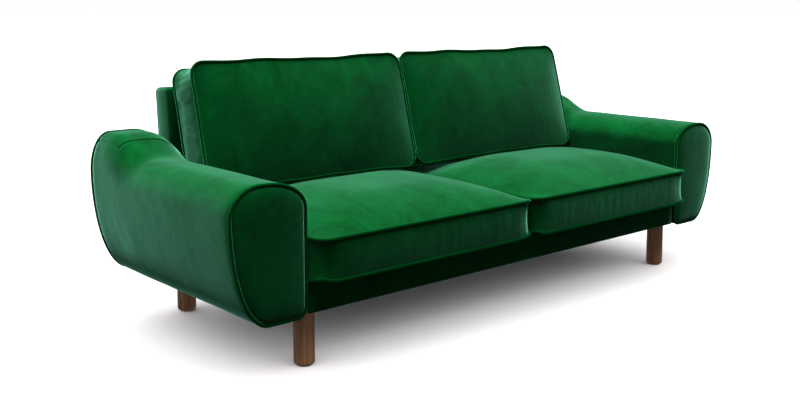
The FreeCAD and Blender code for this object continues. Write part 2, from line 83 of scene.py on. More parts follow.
# %% [markdown]
# Velvet shows its shape by light from above: the tops catch it and the upright faces fall
# into deep colour. So one broad soft light stands overhead, a weak one lights the left arm
# from the side, and the sky is dim and even. The floor has a very broad light of its own,
# which gives a soft shadow and lets the paper be white without making the velvet pale. The
# camera sees the sky itself as plain white paper.

# %% Light
def soft_sun(name, direction, strength, spread):
    """A broad light with parallel rays that travel along direction."""
    data = bpy.data.lights.new(name, "SUN")
    data.energy = strength
    data.angle = math.radians(spread)
    light = bpy.data.objects.new(name, data)
    scene.collection.objects.link(light)
    light.rotation_euler = Vector(direction).to_track_quat("-Z", "Y").to_euler()
    return light


overhead = soft_sun("overhead_light", (0.02, -0.07, -1.0), strength=17.5, spread=62.0)
paper_light = soft_sun("paper_light", (0.06, 0.03, -1.0), strength=6.1, spread=146.0)

side_data = bpy.data.lights.new("side_light", "AREA")
side_data.shape = "RECTANGLE"
side_data.size, side_data.size_y = 1.8, 0.8
side_data.energy = 4.5
side_light = bpy.data.objects.new("side_light", side_data)
scene.collection.objects.link(side_light)
side_light.location = (-2.9, 0.10, 0.85)
side_way = Vector((1.0, -0.05, -0.25))
side_light.rotation_euler = side_way.to_track_quat("-Z", "Y").to_euler()

world = bpy.data.worlds.new("studio")
world.use_nodes = True
scene.world = world
sky = world.node_tree
sky.nodes.clear()
sky_out = sky.nodes.new("ShaderNodeOutputWorld")
sky_mix = sky.nodes.new("ShaderNodeMixShader")
sky_fill = sky.nodes.new("ShaderNodeBackground")
sky_fill.inputs["Color"].default_value = (0.95, 0.97, 1.0, 1.0)
sky_fill.inputs["Strength"].default_value = 0.20
sky_paper = sky.nodes.new("ShaderNodeBackground")
sky_paper.inputs["Color"].default_value = (1.0, 1.0, 1.0, 1.0)
sky_paper.inputs["Strength"].default_value = 1.0
sky_rays = sky.nodes.new("ShaderNodeLightPath")
sky.links.new(sky_rays.outputs["Is Camera Ray"], sky_mix.inputs[0])
sky.links.new(sky_fill.outputs[0], sky_mix.inputs[1])
sky.links.new(sky_paper.outputs[0], sky_mix.inputs[2])
sky.links.new(sky_mix.outputs[0], sky_out.inputs[0])


# %% [markdown]
# Every finish is made of nodes that read Object coordinates in metres, so a pattern keeps
# its real scale on each piece. A few short helpers keep the node trees readable: one starts
# a material, one adds a noise at a scale given in repeats per metre, and one turns a noise
# into a number range.

# %% Material helpers
class Finish:
    """A Principled material that grows by small named steps."""

    def __init__(self, name):
        self.material = bpy.data.materials.new(name)
        self.material.use_nodes = True
        self.tree = self.material.node_tree
        self.shader = self.tree.nodes["Principled BSDF"]
        self.place = self.node("ShaderNodeTexCoord").outputs["Object"]

    def node(self, kind, **settings):
        made = self.tree.nodes.new(kind)
        for key, value in settings.items():
            setattr(made, key, value)
        return made

    def link(self, source, target):
        self.tree.links.new(source, target)

    def set(self, **values):
        for key, value in values.items():
            self.shader.inputs[key.replace("_", " ")].default_value = value

    def stretched(self, x, y, z):
        """Coordinates that repeat x, y and z times faster along each axis."""
        mapping = self.node("ShaderNodeMapping")
        mapping.inputs["Scale"].default_value = (x, y, z)
        self.link(self.place, mapping.inputs["Vector"])
        return mapping.outputs[0]

    def noise(self, scale, detail=3.0, roughness=0.55, vector=None, distortion=0.0):
        made = self.node("ShaderNodeTexNoise")
        made.inputs["Scale"].default_value = scale
        made.inputs["Detail"].default_value = detail
        made.inputs["Roughness"].default_value = roughness
        made.inputs["Distortion"].default_value = distortion
        self.link(vector or self.place, made.inputs["Vector"])
        return made.outputs["Fac"]

    def remap(self, value, low, high, to_low, to_high):
        made = self.node("ShaderNodeMapRange")
        for key, number in (("From Min", low), ("From Max", high),
                            ("To Min", to_low), ("To Max", to_high)):
            made.inputs[key].default_value = number
        self.link(value, made.inputs["Value"])
        return made.outputs["Result"]

    def math(self, operation, first, second):
        made = self.node("ShaderNodeMath", operation=operation)
        for socket, value in zip(made.inputs, (first, second)):
            if isinstance(value, float):
                socket.default_value = value
            else:
                self.link(value, socket)
        return made.outputs[0]

    def blend(self, share, first, second):
        """A colour that goes from first to second as share goes from 0 to 1."""
        made = self.node("ShaderNodeMix", data_type="RGBA")
        self.link(share, made.inputs["Factor"])
        for socket, value in ((made.inputs[6], first), (made.inputs[7], second)):
            if isinstance(value, tuple):
                socket.default_value = (*value, 1.0)
            else:
                self.link(value, socket)
        return made.outputs[2]

    def bump(self, height, strength, distance, under=None):
        made = self.node("ShaderNodeBump")
        made.inputs["Strength"].default_value = strength
        made.inputs["Distance"].default_value = distance
        self.link(height, made.inputs["Height"])
        if under is not None:
            self.link(under, made.inputs["Normal"])
        return made.outputs["Normal"]


# %% [markdown]
# The cover is a short-pile cotton velvet. The pile is dark seen end-on and pale where it is
# seen along the surface, which the shader's sheen does. Hands brush the pile into soft
# patches a few centimetres wide, so two noises vary the colour and tilt the surface, and a
# very fine one gives the broken look of cut pile. The sheen's tint, weight and roughness are
# the same all over, so they are set on the shader itself.

# %% Velvet
def velvet(name, patch_strength=1.0, sheen=1.0, tint=(0.31, 1.0, 0.66)):
    deep, lit = (0.0, 0.012, 0.0008), (0.0002, 0.044, 0.0080)
    cloth = Finish(name)
    brushed = cloth.noise(1.0, 4.0, 0.6, cloth.stretched(9.0, 6.0, 7.0), 0.6)
    mottled = cloth.noise(46.0, 4.0, 0.62)
    pile = cloth.noise(1500.0, 2.0, 0.6)
    broad = cloth.remap(brushed, 0.34, 0.68, 0.18, 0.18 + 0.50 * patch_strength)
    small = cloth.remap(mottled, 0.35, 0.68, 0.0, 0.20 * patch_strength)
    patches = cloth.math("ADD", broad, small)
    shade = cloth.math("MULTIPLY", patches, cloth.remap(pile, 0.3, 0.7, 0.75, 1.2))
    cloth.link(cloth.blend(shade, deep, lit), cloth.shader.inputs["Base Color"])
    cloth.link(cloth.remap(mottled, 0.3, 0.7, 0.88, 0.74), cloth.shader.inputs["Roughness"])
    tilt = cloth.bump(cloth.math("ADD", brushed, mottled), 0.16 * patch_strength, 0.004)
    cloth.link(cloth.bump(pile, 0.35, 0.0004, tilt), cloth.shader.inputs["Normal"])
    cloth.set(Sheen_Weight=sheen, Sheen_Roughness=0.30, Sheen_Tint=(*tint, 1.0),
              Specular_IOR_Level=0.0)
    return cloth.material


velvet_cover = velvet("velvet_cover")
# The welts get a copy of the velvet with less sheen, fewer patches and a greener tint. This is
# painted shade: it darkens the welts to stand for the shade in the seams' grooves beside them.
shaded_welt_velvet = velvet("shaded_welt_velvet", patch_strength=0.4, sheen=0.4, tint=(0.12, 1.0, 0.45))
print("made", velvet_cover.name, shaded_welt_velvet.name)

# %% [markdown]
# The legs are turned from walnut and oiled to a satin finish. Long grain runs up the leg, so
# the noise is squeezed across and stretched along Z, and thin dark pores lie over it.
# The bare hardwood and the plywood inside use the same idea in paler colours.

# %% Woods
def wood(name, dark, mid, pale, roughness, grain=(34.0, 34.0, 2.2), pore_share=0.6):
    timber = Finish(name)
    bands = timber.noise(1.0, 5.0, 0.62, timber.stretched(*grain), 1.4)
    pores = timber.noise(1.0, 3.0, 0.7, timber.stretched(*[g * 9.0 for g in grain]))
    body = timber.blend(timber.remap(bands, 0.34, 0.66, 0.0, 1.0), mid, pale)
    streak = timber.remap(bands, 0.42, 0.30, 0.0, 0.75)
    body = timber.blend(streak, body, dark)
    body = timber.blend(timber.remap(pores, 0.58, 0.74, 0.0, pore_share), body, dark)
    timber.link(body, timber.shader.inputs["Base Color"])
    timber.link(timber.remap(pores, 0.4, 0.7, roughness, roughness + 0.18),
                timber.shader.inputs["Roughness"])
    timber.link(timber.bump(pores, 0.22, 0.0004), timber.shader.inputs["Normal"])
    return timber.material


walnut = wood("oiled_walnut", (0.050, 0.018, 0.0065), (0.230, 0.095, 0.036),
              (0.420, 0.210, 0.098), 0.5)
hardwood = wood("bare_hardwood", (0.32, 0.18, 0.09), (0.50, 0.33, 0.18),
                (0.62, 0.44, 0.26), 0.66, (2.2, 30.0, 30.0), 0.3)
plywood = wood("birch_plywood", (0.40, 0.25, 0.13), (0.58, 0.41, 0.24),
               (0.68, 0.52, 0.33), 0.62, (24.0, 2.0, 160.0), 0.25)
print("made", walnut.name, hardwood.name, plywood.name)

# %% [markdown]
# Small hidden parts still get a true finish, because they show when a cushion is lifted or
# the sofa is turned over: zinc-plated steel, pressed felt, open foam, woven elastic webbing,
# a black non-woven sheet underneath and the plain cloth of the platform.

# %% Plain finishes
def speckled(name, dark, pale, scale, roughness, bump_depth, metallic=0.0, detail=3.0,
             vector_scale=None, sheen=0.0):
    made = Finish(name)
    vector = made.stretched(*vector_scale) if vector_scale else None
    grain = made.noise(scale, detail, 0.6, vector)
    made.link(made.blend(made.remap(grain, 0.3, 0.7, 0.0, 1.0), dark, pale),
              made.shader.inputs["Base Color"])
    made.link(made.remap(grain, 0.3, 0.7, roughness + 0.08, roughness - 0.06),
              made.shader.inputs["Roughness"])
    made.link(made.bump(grain, 0.5, bump_depth), made.shader.inputs["Normal"])
    made.set(Metallic=metallic, Sheen_Weight=sheen)
    return made.material


steel = speckled("zinc_plated_steel", (0.46, 0.46, 0.45), (0.66, 0.66, 0.67), 160.0, 0.34,
                 0.0001, metallic=1.0)
felt = speckled("pressed_felt", (0.05, 0.037, 0.03), (0.16, 0.12, 0.095), 900.0, 0.94,
                0.0006, sheen=0.4)
foam = speckled("open_foam", (0.66, 0.58, 0.36), (0.84, 0.78, 0.58), 700.0, 0.92, 0.0008)
webbing = speckled("woven_webbing", (0.012, 0.012, 0.012), (0.06, 0.06, 0.06), 1.0, 0.8,
                   0.0006, vector_scale=(90.0, 500.0, 500.0))
underside_cloth = speckled("non_woven_sheet", (0.008, 0.008, 0.008), (0.034, 0.034, 0.033),
                           260.0, 0.86, 0.0004, detail=5.0)
platform_cloth = speckled("platform_cloth", (0.004, 0.052, 0.016), (0.010, 0.088, 0.032),
                          1.0, 0.86, 0.0004, vector_scale=(620.0, 620.0, 620.0), sheen=0.25)
paper = speckled("pale_floor", (0.885, 0.860, 0.856), (0.90, 0.875, 0.871), 3.0, 0.86, 0.0001)
print("made", steel.name, felt.name, foam.name, webbing.name, platform_cloth.name)

# %% [markdown]
# The floor is one wide pale disc. It is not part of the sofa. It doesn't throw light
# back up, or the undersides of the arms would turn pale. Light linking gives it its own
# light and keeps it out of the overhead one.

# %% Floor
floor_shape = bmesh.new()
bmesh.ops.create_circle(floor_shape, cap_ends=True, segments=96, radius=60.0)
floor_mesh = bpy.data.meshes.new("studio_floor")
floor_shape.to_mesh(floor_mesh)
floor_shape.free()
floor_mesh.materials.append(paper)
floor = bpy.data.objects.new("studio_floor", floor_mesh)
scene.collection.objects.link(floor)
floor.visible_diffuse = floor.visible_glossy = False

lit_by_paper = bpy.data.collections.new("lit_by_paper_light")
lit_by_paper.objects.link(floor)
paper_light.light_linking.receiver_collection = lit_by_paper
not_overhead = bpy.data.collections.new("not_lit_by_overhead")
not_overhead.objects.link(floor)
not_overhead.collection_objects[0].light_linking.link_state = "EXCLUDE"
overhead.light_linking.receiver_collection = not_overhead
print("floor of", len(floor_mesh.polygons), "face")

# %% [markdown]
# Three helpers finish the pieces. One turns a bmesh into an object, gives it its finish, sets
# it riding on a body and hides the frame's nodes that it stands for. One adds a level of
# smoothing. The last makes a welt, which is a cord wrapped in a narrow strip of the cover and
# sewn into a seam: a round line swept along the seam's points. The frame's cord is thinner
# than the finished welt, because the strip adds to it.

# %% Piece helpers
welt_radius, welt_full = 0.0035, 0.0050


def piece(name, shape, body, finish, stands_for=()):
    bmesh.ops.recalc_face_normals(shape, faces=shape.faces)
    mesh = bpy.data.meshes.new(name)
    shape.to_mesh(mesh)
    shape.free()
    mesh.materials.append(finish)
    mesh.shade_smooth()
    made = bpy.data.objects.new(name, mesh)
    scene.collection.objects.link(made)
    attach(made, body)
    if stands_for:
        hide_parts(*stands_for)
    print("piece", name, "with", len(mesh.polygons), "faces")
    return made


def smoother(made):
    """One live subdivision, the same in the view and in the render."""
    modifier = made.modifiers.new("smoother", "SUBSURF")
    modifier.levels = modifier.render_levels = 1


def welt(name, points, body, stands_for=()):
    """A closed round welt that follows points, made as a curve and kept as a mesh."""
    data = bpy.data.curves.new(name, "CURVE")
    data.dimensions = "3D"
    data.bevel_depth = welt_full
    data.bevel_resolution = 3
    spline = data.splines.new("POLY")
    spline.points.add(len(points) - 1)
    for target, point in zip(spline.points, points):
        target.co = (*point, 1.0)
    spline.use_cyclic_u = True
    holder = bpy.data.objects.new(name + "_line", data)
    scene.collection.objects.link(holder)
    bpy.context.view_layer.update()
    graph = bpy.context.evaluated_depsgraph_get()
    mesh = bpy.data.meshes.new_from_object(holder.evaluated_get(graph))
    bpy.data.objects.remove(holder)
    shape = bmesh.new()
    shape.from_mesh(mesh)
    bpy.data.meshes.remove(mesh)
    bmesh.ops.remove_doubles(shape, verts=shape.verts, dist=1e-5)
    # The welt's velvet is the darkened copy, so the welt carries painted shade for the seam
    # grooves.
    return piece(name, shape, body, shaded_welt_velvet, stands_for)


def flipped(points, side):
    """The points of a right-hand line, turned over for the left side."""
    sign = 1.0 if side == "right" else -1.0
    return [(sign * p[0], p[1], p[2]) for p in points]


# %% [markdown]
# Each arm is a padded box with a round crown and a belly that curves in under the outer
# side. Near the back its top rises to a shoulder. All of it is one outline that changes with
# depth, so the outline is written once: straight runs joined by quarters of an oval. The
# sizes come from the arm cover's own box in the frame.

# %% Arm outline
arm_low, arm_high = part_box("right_arm_cover")
welt_low, welt_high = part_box("right_arm_piping")
arm_inner, arm_outer, arm_bottom = arm_low.x, arm_high.x, arm_low.z
arm_front, arm_rear = welt_low.y + welt_radius, welt_high.y - welt_radius
shoulder_top = arm_high.z
shoulder_rise, shoulder_start, shoulder_length = 0.062, 0.258, 0.192
flat_top = shoulder_top - shoulder_rise
seam_angle = 36.0


def shoulder_share(y):
    """0 on the flat arm and 1 at the rear, with a smooth step between."""
    share = min(max((y - (arm_rear - shoulder_start)) / shoulder_length, 0.0), 1.0)
    return share * share * (3.0 - 2.0 * share)


def oval(start, corner, end, angles):
    """Points on a quarter oval that leaves start and arrives at end, square to both."""
    out = []
    for angle in angles:
        turn = math.radians(angle)
        out.append(corner + (start - corner) * (1.0 - math.sin(turn))
                   + (end - corner) * (1.0 - math.cos(turn)))
    return out


def straight(start, end, count):
    return [start.lerp(end, i / count) for i in range(count)]


even = [i * 90.0 / 14 for i in range(14)]
fine = [0, 6, 12, 18, 24, 29, 32.5, 34.8, 36, 37.2, 39.5, 43, 49, 56, 63, 70, 77, 84]
long = [i * 90.0 / 34 for i in range(34)]
seam_place = 14 + 14 + 4 + fine.index(seam_angle)


def arm_outline(rise, inset=0.0):
    """The right arm's outline as (x, z) points, drawn inset from its outer surface."""
    inner, outer = arm_inner + inset, arm_outer - inset
    bottom, top = arm_bottom + inset, flat_top + rise * shoulder_rise - inset
    inner_spring = flat_top - 0.077 + rise * (shoulder_rise - 0.010)
    outer_spring = flat_top - 0.085 + rise * 0.028
    crown_start, crown_end = arm_outer - 0.115 - rise * 0.025, arm_outer - 0.095 + rise * 0.030
    keel, corner = arm_outer - 0.117, max(0.034 - inset, 0.004)

    def at(x, z):
        return Vector((x, z))

    return [
        *straight(at(inner, bottom + corner), at(inner, inner_spring), 14),
        *oval(at(inner, inner_spring), at(inner, top), at(crown_start, top), even),
        *straight(at(crown_start, top), at(crown_end, top), 4),
        *oval(at(crown_end, top), at(outer, top), at(outer, outer_spring), fine),
        *oval(at(outer, outer_spring), at(outer, bottom), at(keel, bottom), long),
        *straight(at(keel, bottom), at(inner + corner, bottom), 8),
        *oval(at(inner + corner, bottom), at(inner, bottom),
              at(inner, bottom + corner), [0, 22, 45, 68]),
    ]


outline_count = len(arm_outline(0.0))
print("arm outline of", outline_count, "points, flat top at", round(flat_top, 3))

# %% [markdown]
# The arm cover is pulled over foam and tucked in at both ends, where the welts are. It is
# made as one tube: a ring of points takes the outline's shape at the front, and is then
# extruded station by station to the rear, with the outline rising on the way. A seam crosses
# the crown where the shoulder has half risen, turns at the outer edge and runs back to the
# rear welt. Stations and outline points are close together there, so the seam can be a real
# groove with a soft fold beside it. Small pleats gather towards the rear welt.

# %% Arm covers
seam_depth_at = arm_rear - 0.136
cover_front, cover_rear = arm_front + 0.0028, arm_rear - 0.0028


def stations():
    """Depths of the rings: close at both ends and at the seam."""
    ends = [0.0, 0.0015, 0.004, 0.008, 0.014, 0.022, 0.032]
    fixed = [cover_front + e for e in ends] + [cover_rear - e for e in ends]
    near = (0.0, 0.0012, 0.0028, 0.005, 0.009, 0.014)
    fixed += [seam_depth_at + side * e for e in near for side in (-1, 1)]
    steps = 56
    for i in range(1, steps):
        y = cover_front + (cover_rear - cover_front) * i / steps
        if min(abs(y - f) for f in fixed) > 0.006:
            fixed.append(y)
    return sorted(set(fixed))


def tuck(y):
    """How far the cover is drawn in towards the welts at its two ends."""
    edge = min(y - cover_front, cover_rear - y)
    return 0.0060 * math.exp(-edge / 0.0045)


def arm_cover():
    shape = bmesh.new()
    place = shape.verts.layers.int.new("place")
    ring = bmesh.ops.create_circle(shape, segments=outline_count, radius=1.0)["verts"]
    for number, vert in enumerate(ring):
        vert[place] = number
    depths = stations()
    for number, y in enumerate(depths):
        outline = arm_outline(shoulder_share(y), tuck(y))
        for vert in ring:
            x, z = outline[vert[place]]
            vert.co = (x, y, z)
        if number + 1 < len(depths):
            edges = [e for e in shape.edges if e.is_wire or e.is_boundary]
            edges = [e for e in edges if all(v in set(ring) for v in e.verts)]
            grown = bmesh.ops.extrude_edge_only(shape, edges=edges)["geom"]
            ring = [g for g in grown if isinstance(g, bmesh.types.BMVert)]
    for edge_y in (cover_front, cover_rear):
        rim = [e for e in shape.edges if e.is_boundary and abs(e.verts[0].co.y - edge_y) < 1e-4]
        bmesh.ops.contextual_create(shape, geom=rim)
    bmesh.ops.recalc_face_normals(shape, faces=shape.faces)
    return shape, place


def dress_arm(shape, place, seed):
    """Seam groove, rear pleats and the slight unevenness of a hand-pulled cover."""
    middle = arm_outline(0.5)
    run = [0.0]
    for before, after in zip(middle, middle[1:]):
        run.append(run[-1] + (after - before).length)
    shape.normal_update()
    moves = {}
    for vert in shape.verts:
        y, number = vert.co.y, vert[place]
        gap = 1.0
        if 6 <= number <= seam_place:
            gap = abs(y - seam_depth_at)
        if y >= seam_depth_at:
            gap = min(gap, abs(run[number] - run[seam_place]))
        sink = -0.0034 * math.exp(-(gap / 0.0022) ** 2)
        sink += 0.0011 * math.exp(-((gap - 0.0075) / 0.0045) ** 2)
        crown = math.exp(-((run[number] - run[seam_place]) / 0.10) ** 2)
        pleat = math.sin(run[number] * 2 * math.pi / 0.026 + 1.7 * math.sin(run[number] * 60))
        sink += 0.0011 * pleat * crown * math.exp(-(cover_rear - y) / 0.020)
        sink += 0.0007 * pleat * crown * math.exp(-(y - cover_front) / 0.012)
        edge = min(y - cover_front, cover_rear - y)
        drift = noise.noise(vert.co * 7.0 + Vector((seed, 0, 0)))
        drift += 0.4 * noise.noise(vert.co * 22.0 + Vector((0, seed, 0)))
        sink += 0.0012 * drift * min(edge / 0.03, 1.0)
        moves[vert] = vert.normal * sink
    for vert, move in moves.items():
        if min(vert.co.y - cover_front, cover_rear - vert.co.y) > 1e-4:
            vert.co += move


for side in ("right", "left"):
    shape, place = arm_cover()
    dress_arm(shape, place, 3.1 if side == "right" else 8.4)
    if side == "left":
        bmesh.ops.scale(shape, vec=(-1.0, 1.0, 1.0), verts=shape.verts)
    smoother(piece(f"{side}_arm_velvet", shape, "frame", velvet_cover,
                   (f"{side}_arm_cover", f"{side}_arm_foam")))

# %% [markdown]
# The side light is meant for the left arm. It would also reach across the seat to the right
# arm's inner face, which lies in deep shade, so that arm's cover is kept out of it.

# %% Side light kept off the right arm
not_side = bpy.data.collections.new("not_lit_by_side")
not_side.objects.link(bpy.data.objects["right_arm_velvet"])
not_side.collection_objects[0].light_linking.link_state = "EXCLUDE"
side_light.light_linking.receiver_collection = not_side

# %% [markdown]
# The front of each arm is closed by its own padded panel, which swells gently between the
# welts. The rear has a flatter one. The outline's ring is extruded again and again towards
# a short upright line in the middle, and each ring stands a little further out, so the
# panel is crowned from edge to edge. The last narrow slot is closed by one flat face.

# %% Arm panels
def arm_panel(rise, inset, y_edge, y_seat, bulge, fullness):
    """A domed panel that starts at y_seat and swells by bulge beyond y_edge."""
    shape = bmesh.new()
    place = shape.verts.layers.int.new("place")
    outline = arm_outline(rise, inset)
    middle_x = (arm_inner + arm_outer) / 2
    low = arm_bottom + 0.115
    high = flat_top + rise * shoulder_rise - 0.115
    ring = bmesh.ops.create_circle(shape, segments=outline_count, radius=1.0)["verts"]
    for number, vert in enumerate(ring):
        vert[place] = number
    towards = 1.0 if y_edge > y_seat else -1.0
    shares = [1.0, 1.0, 0.992, 0.98, 0.962, 0.94, 0.91, 0.87, 0.81, 0.74, 0.66, 0.57, 0.47,
              0.37, 0.27, 0.17, 0.08, 0.03]
    for number, share in enumerate(shares):
        swell = (1.0 - share ** 2.4) ** fullness if number else 0.0
        y = y_seat if number == 0 else y_edge + towards * bulge * swell
        for vert in ring:
            x, z = outline[vert[place]]
            centre = Vector((middle_x, min(max(z, low), high)))
            spot = centre + (Vector((x, z)) - centre) * share
            wave = noise.noise(Vector((spot.x * 9, rise * 5, spot.y * 9))) * 0.0012
            vert.co = (spot.x, y + towards * wave * (1.0 - share), spot.y)
        if number + 1 < len(shares):
            held = set(ring)
            edges = [e for e in shape.edges if e.verts[0] in held and e.verts[1] in held]
            grown = bmesh.ops.extrude_edge_only(shape, edges=edges)["geom"]
            ring = [g for g in grown if isinstance(g, bmesh.types.BMVert)]
    for rim_y in (True, False):
        rim = [e for e in shape.edges if e.is_boundary
               and (abs(e.verts[0].co.y - y_seat) < 1e-5) == rim_y]
        bmesh.ops.contextual_create(shape, geom=rim)
    return shape


front_low, front_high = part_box("right_arm_front_panel")
rear_low, rear_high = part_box("right_arm_rear_panel")
front_edge = arm_front - 0.0012
panel_inset = 0.0112
for side in ("right", "left"):
    for end, rise, edge, seat, bulge, fullness in (
            ("front", 0.0, front_edge, front_high.y, front_edge - front_low.y, 0.42),
            ("rear", 1.0, rear_high.y - 0.0028, rear_low.y, 0.0026, 0.5)):
        shape = arm_panel(rise, panel_inset, edge, seat, bulge, fullness)
        if side == "left":
            bmesh.ops.scale(shape, vec=(-1.0, 1.0, 1.0), verts=shape.verts)
        panel = piece(f"{side}_arm_{end}_velvet", shape, "frame", velvet_cover,
                      (f"{side}_arm_{end}_panel",))

# %% [markdown]
# One welt runs round each arm at the front and one at the rear. It follows the outline, set
# in by the frame cord's radius, and covers the edges of the cover and of the end panel.

# %% Arm welts
for side in ("right", "left"):
    for end, y, rise in (("front", arm_front, 0.0), ("rear", arm_rear, 1.0)):
        line = [(x, y, z) for x, z in arm_outline(rise, welt_radius)]
        stands = (f"{side}_arm_piping",) if end == "front" else ()
        welt(f"{side}_arm_{end}_welt", flipped(line, side), "frame", stands)

# %% [markdown]
# The back is a padded slab that leans a little. Its front, top and ends are wrapped in one
# cover, and the rear is closed by a separate panel that also hides the rear rail. Both start
# as a box that is bevelled, cut into a fine grid and then eased, so that the padding swells
# slightly between its edges. Above the arms the rear panel bends round the slab's edges.

# %% Padded box helper
def padded_box(low, high, bevel, cells, swell, seed, segments=4):
    """A box with round edges whose big faces swell a little between them."""
    shape = bmesh.new()
    low, high = Vector(low), Vector(high)
    bmesh.ops.create_cube(shape, size=1.0)
    bmesh.ops.scale(shape, vec=high - low, verts=shape.verts)
    bmesh.ops.translate(shape, vec=(low + high) / 2, verts=shape.verts)
    bmesh.ops.bevel(shape, geom=list(shape.edges), offset=bevel, offset_type="OFFSET",
                    affect="EDGES", segments=segments, profile=0.5, material=-1)
    for axis in range(3):
        count = max(int((high[axis] - low[axis] - 2 * bevel) / cells), 1)
        for i in range(1, count):
            spot = Vector((0, 0, 0))
            spot[axis] = low[axis] + bevel + (high[axis] - low[axis] - 2 * bevel) * i / count
            direction = Vector((0, 0, 0))
            direction[axis] = 1.0
            geom = list(shape.verts) + list(shape.edges) + list(shape.faces)
            bmesh.ops.bisect_plane(shape, geom=geom, plane_co=spot, plane_no=direction,
                                   dist=1e-6)
    size = high - low
    shape.normal_update()
    moves = {}
    for vert in shape.verts:
        share = [min(vert.co[a] - low[a], high[a] - vert.co[a]) / size[a] for a in range(3)]
        longest = sorted(range(3), key=lambda a: -size[a])[:2]
        full = 1.0
        for axis in longest:
            full *= min(share[axis] * size[axis] / 0.05, 1.0)
        drift = noise.noise(vert.co * 6.0 + Vector((seed, seed, 0)))
        moves[vert] = vert.normal * (swell * full * (0.7 + 0.6 * drift) - swell)
    for vert, move in moves.items():
        vert.co += move
    return shape


# %% Back
back_low, back_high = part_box("back_cover")
panel_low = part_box("back_outer_panel")[0]
deck_low, deck_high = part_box("seat_deck")
back_lean = math.radians(4.0)
back_foot_y = deck_high.y + 0.001
slab_height = (back_high.z - deck_low.z) / math.cos(back_lean)
lean_back = (Matrix.Translation((0.0, back_foot_y, deck_low.z))
             @ Matrix.Rotation(-back_lean, 4, "X"))

slab_round = 0.014
slab = padded_box((back_low.x, 0.0, 0.0), (back_high.x, 0.0872, slab_height), slab_round, 0.03,
                  0.0018, 2.0)
bmesh.ops.transform(slab, matrix=lean_back, verts=slab.verts)
back_slab = piece("back_velvet", slab, "frame", velvet_cover, ("back_cover",))

panel_drop = (panel_low.z - deck_low.z) / math.cos(back_lean)
rear = padded_box((back_low.x, 0.0866, panel_drop + 0.001),
                  (back_high.x, 0.0900, slab_height), 0.0016, 0.012, 0.0003, 5.0, 2)
bend_from, bend_over, bend_share = 0.15, 0.15, 0.9
for vert in rear.verts:
    past_x = max(abs(vert.co.x) - (back_high.x - slab_round), 0.0)
    past_z = max(vert.co.z - (slab_height - slab_round), 0.0)
    past = math.hypot(past_x, past_z)
    if past > slab_round:
        vert.co.x -= math.copysign(past_x * (1.0 - slab_round / past), vert.co.x)
        vert.co.z -= past_z * (1.0 - slab_round / past)
        past = slab_round
    free = min(max((vert.co.z - bend_from) / bend_over, 0.0), 1.0) * bend_share
    vert.co.y -= free * (slab_round - math.sqrt(slab_round ** 2 - past * past))
bmesh.ops.transform(rear, matrix=lean_back, verts=rear.verts)
piece("back_rear_velvet", rear, "frame", velvet_cover, ("back_outer_panel",))

# %% [markdown]
# Under the seat cushions the front rail is wrapped in thin padding and velvet, with round
# corners and a narrow dark gap to each arm. Behind it lies the platform: plain cloth over
# the springs, which dips a little between them, hidden unless a cushion is drawn out. Below,
# a thin black sheet is stapled under the rails, with a corner cut away round every leg.

# %% Rail and platform
rail_low, rail_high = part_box("front_rail_cover")
rail = padded_box(rail_low, rail_high, 0.0055, 0.03, 0.0008, 7.0, 3)
rail_wrap = piece("front_rail_velvet", rail, "frame", velvet_cover,
                  ("front_rail_cover",))

platform = padded_box((deck_low.x, rail_high.y + 0.0005, deck_low.z),
                      (deck_high.x, deck_high.y, deck_high.z), 0.003, 0.022, 0.0012, 9.0, 2)
for vert in platform.verts:
    if vert.co.z > deck_high.z - 0.003:
        across = math.sin(abs(vert.co.x) * math.pi * 9.3) ** 2
        inside = min(min(vert.co.y - rail_high.y, deck_high.y - vert.co.y) / 0.08, 1.0)
        vert.co.z -= 0.0028 * across * max(inside, 0.0)
deck_pad = piece("platform_cloth", platform, "frame", platform_cloth,
                 ("seat_deck",))

sheet_low, sheet_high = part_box("dust_cover")
sheet_size = sheet_high - sheet_low
under = bmesh.new()
bmesh.ops.create_grid(under, x_segments=60, y_segments=28, size=0.5)
bmesh.ops.scale(under, vec=(sheet_size.x, sheet_size.y, 1.0), verts=under.verts)
bmesh.ops.translate(under, vec=((sheet_low.x + sheet_high.x) / 2,
                                (sheet_low.y + sheet_high.y) / 2, sheet_low.z + 0.0006),
                    verts=under.verts)
leg_rooms = [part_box(name) for name in ("front_left_leg", "front_right_leg", "rear_left_leg",
                                       "rear_right_leg")]


def by_a_leg(point):
    return any(low.x - 0.006 < point.x < high.x + 0.006 and low.y - 0.006 < point.y < high.y + 0.006
               for low, high in leg_rooms)


for vert in under.verts:
    inside = min(min(vert.co.x - sheet_low.x, sheet_high.x - vert.co.x, vert.co.y - sheet_low.y,
                     sheet_high.y - vert.co.y) / 0.12, 1.0)
    vert.co.z -= 0.0025 * inside * (0.6 + noise.noise(vert.co * 5.0))
gone = [face for face in under.faces if by_a_leg(face.calc_center_median())]
kept_area = sum(face.calc_area() for face in under.faces if face not in set(gone))
bmesh.ops.delete(under, geom=gone, context="FACES")
bmesh.ops.solidify(under, geom=list(under.faces), thickness=0.0006)
dust = piece("underside_sheet", under, "frame", underside_cloth, ("dust_cover",))
print("underside sheet", [round(v, 3) for v in sheet_size])

# %% [markdown]
# All four cushions are sewn the same way: two panels with a strip, the boxing, between them.
# A cushion is made from a grid for each panel and a rim that is extruded from one down to
# the other. The grid's square corners are eased onto round ones, and a crown is raised that
# is flat in the middle and falls steeply to the seams. Real seams are the only stiff lines,
# so they are marked, and the simulation holds just those still while the cloth between them
# fills out and puckers.

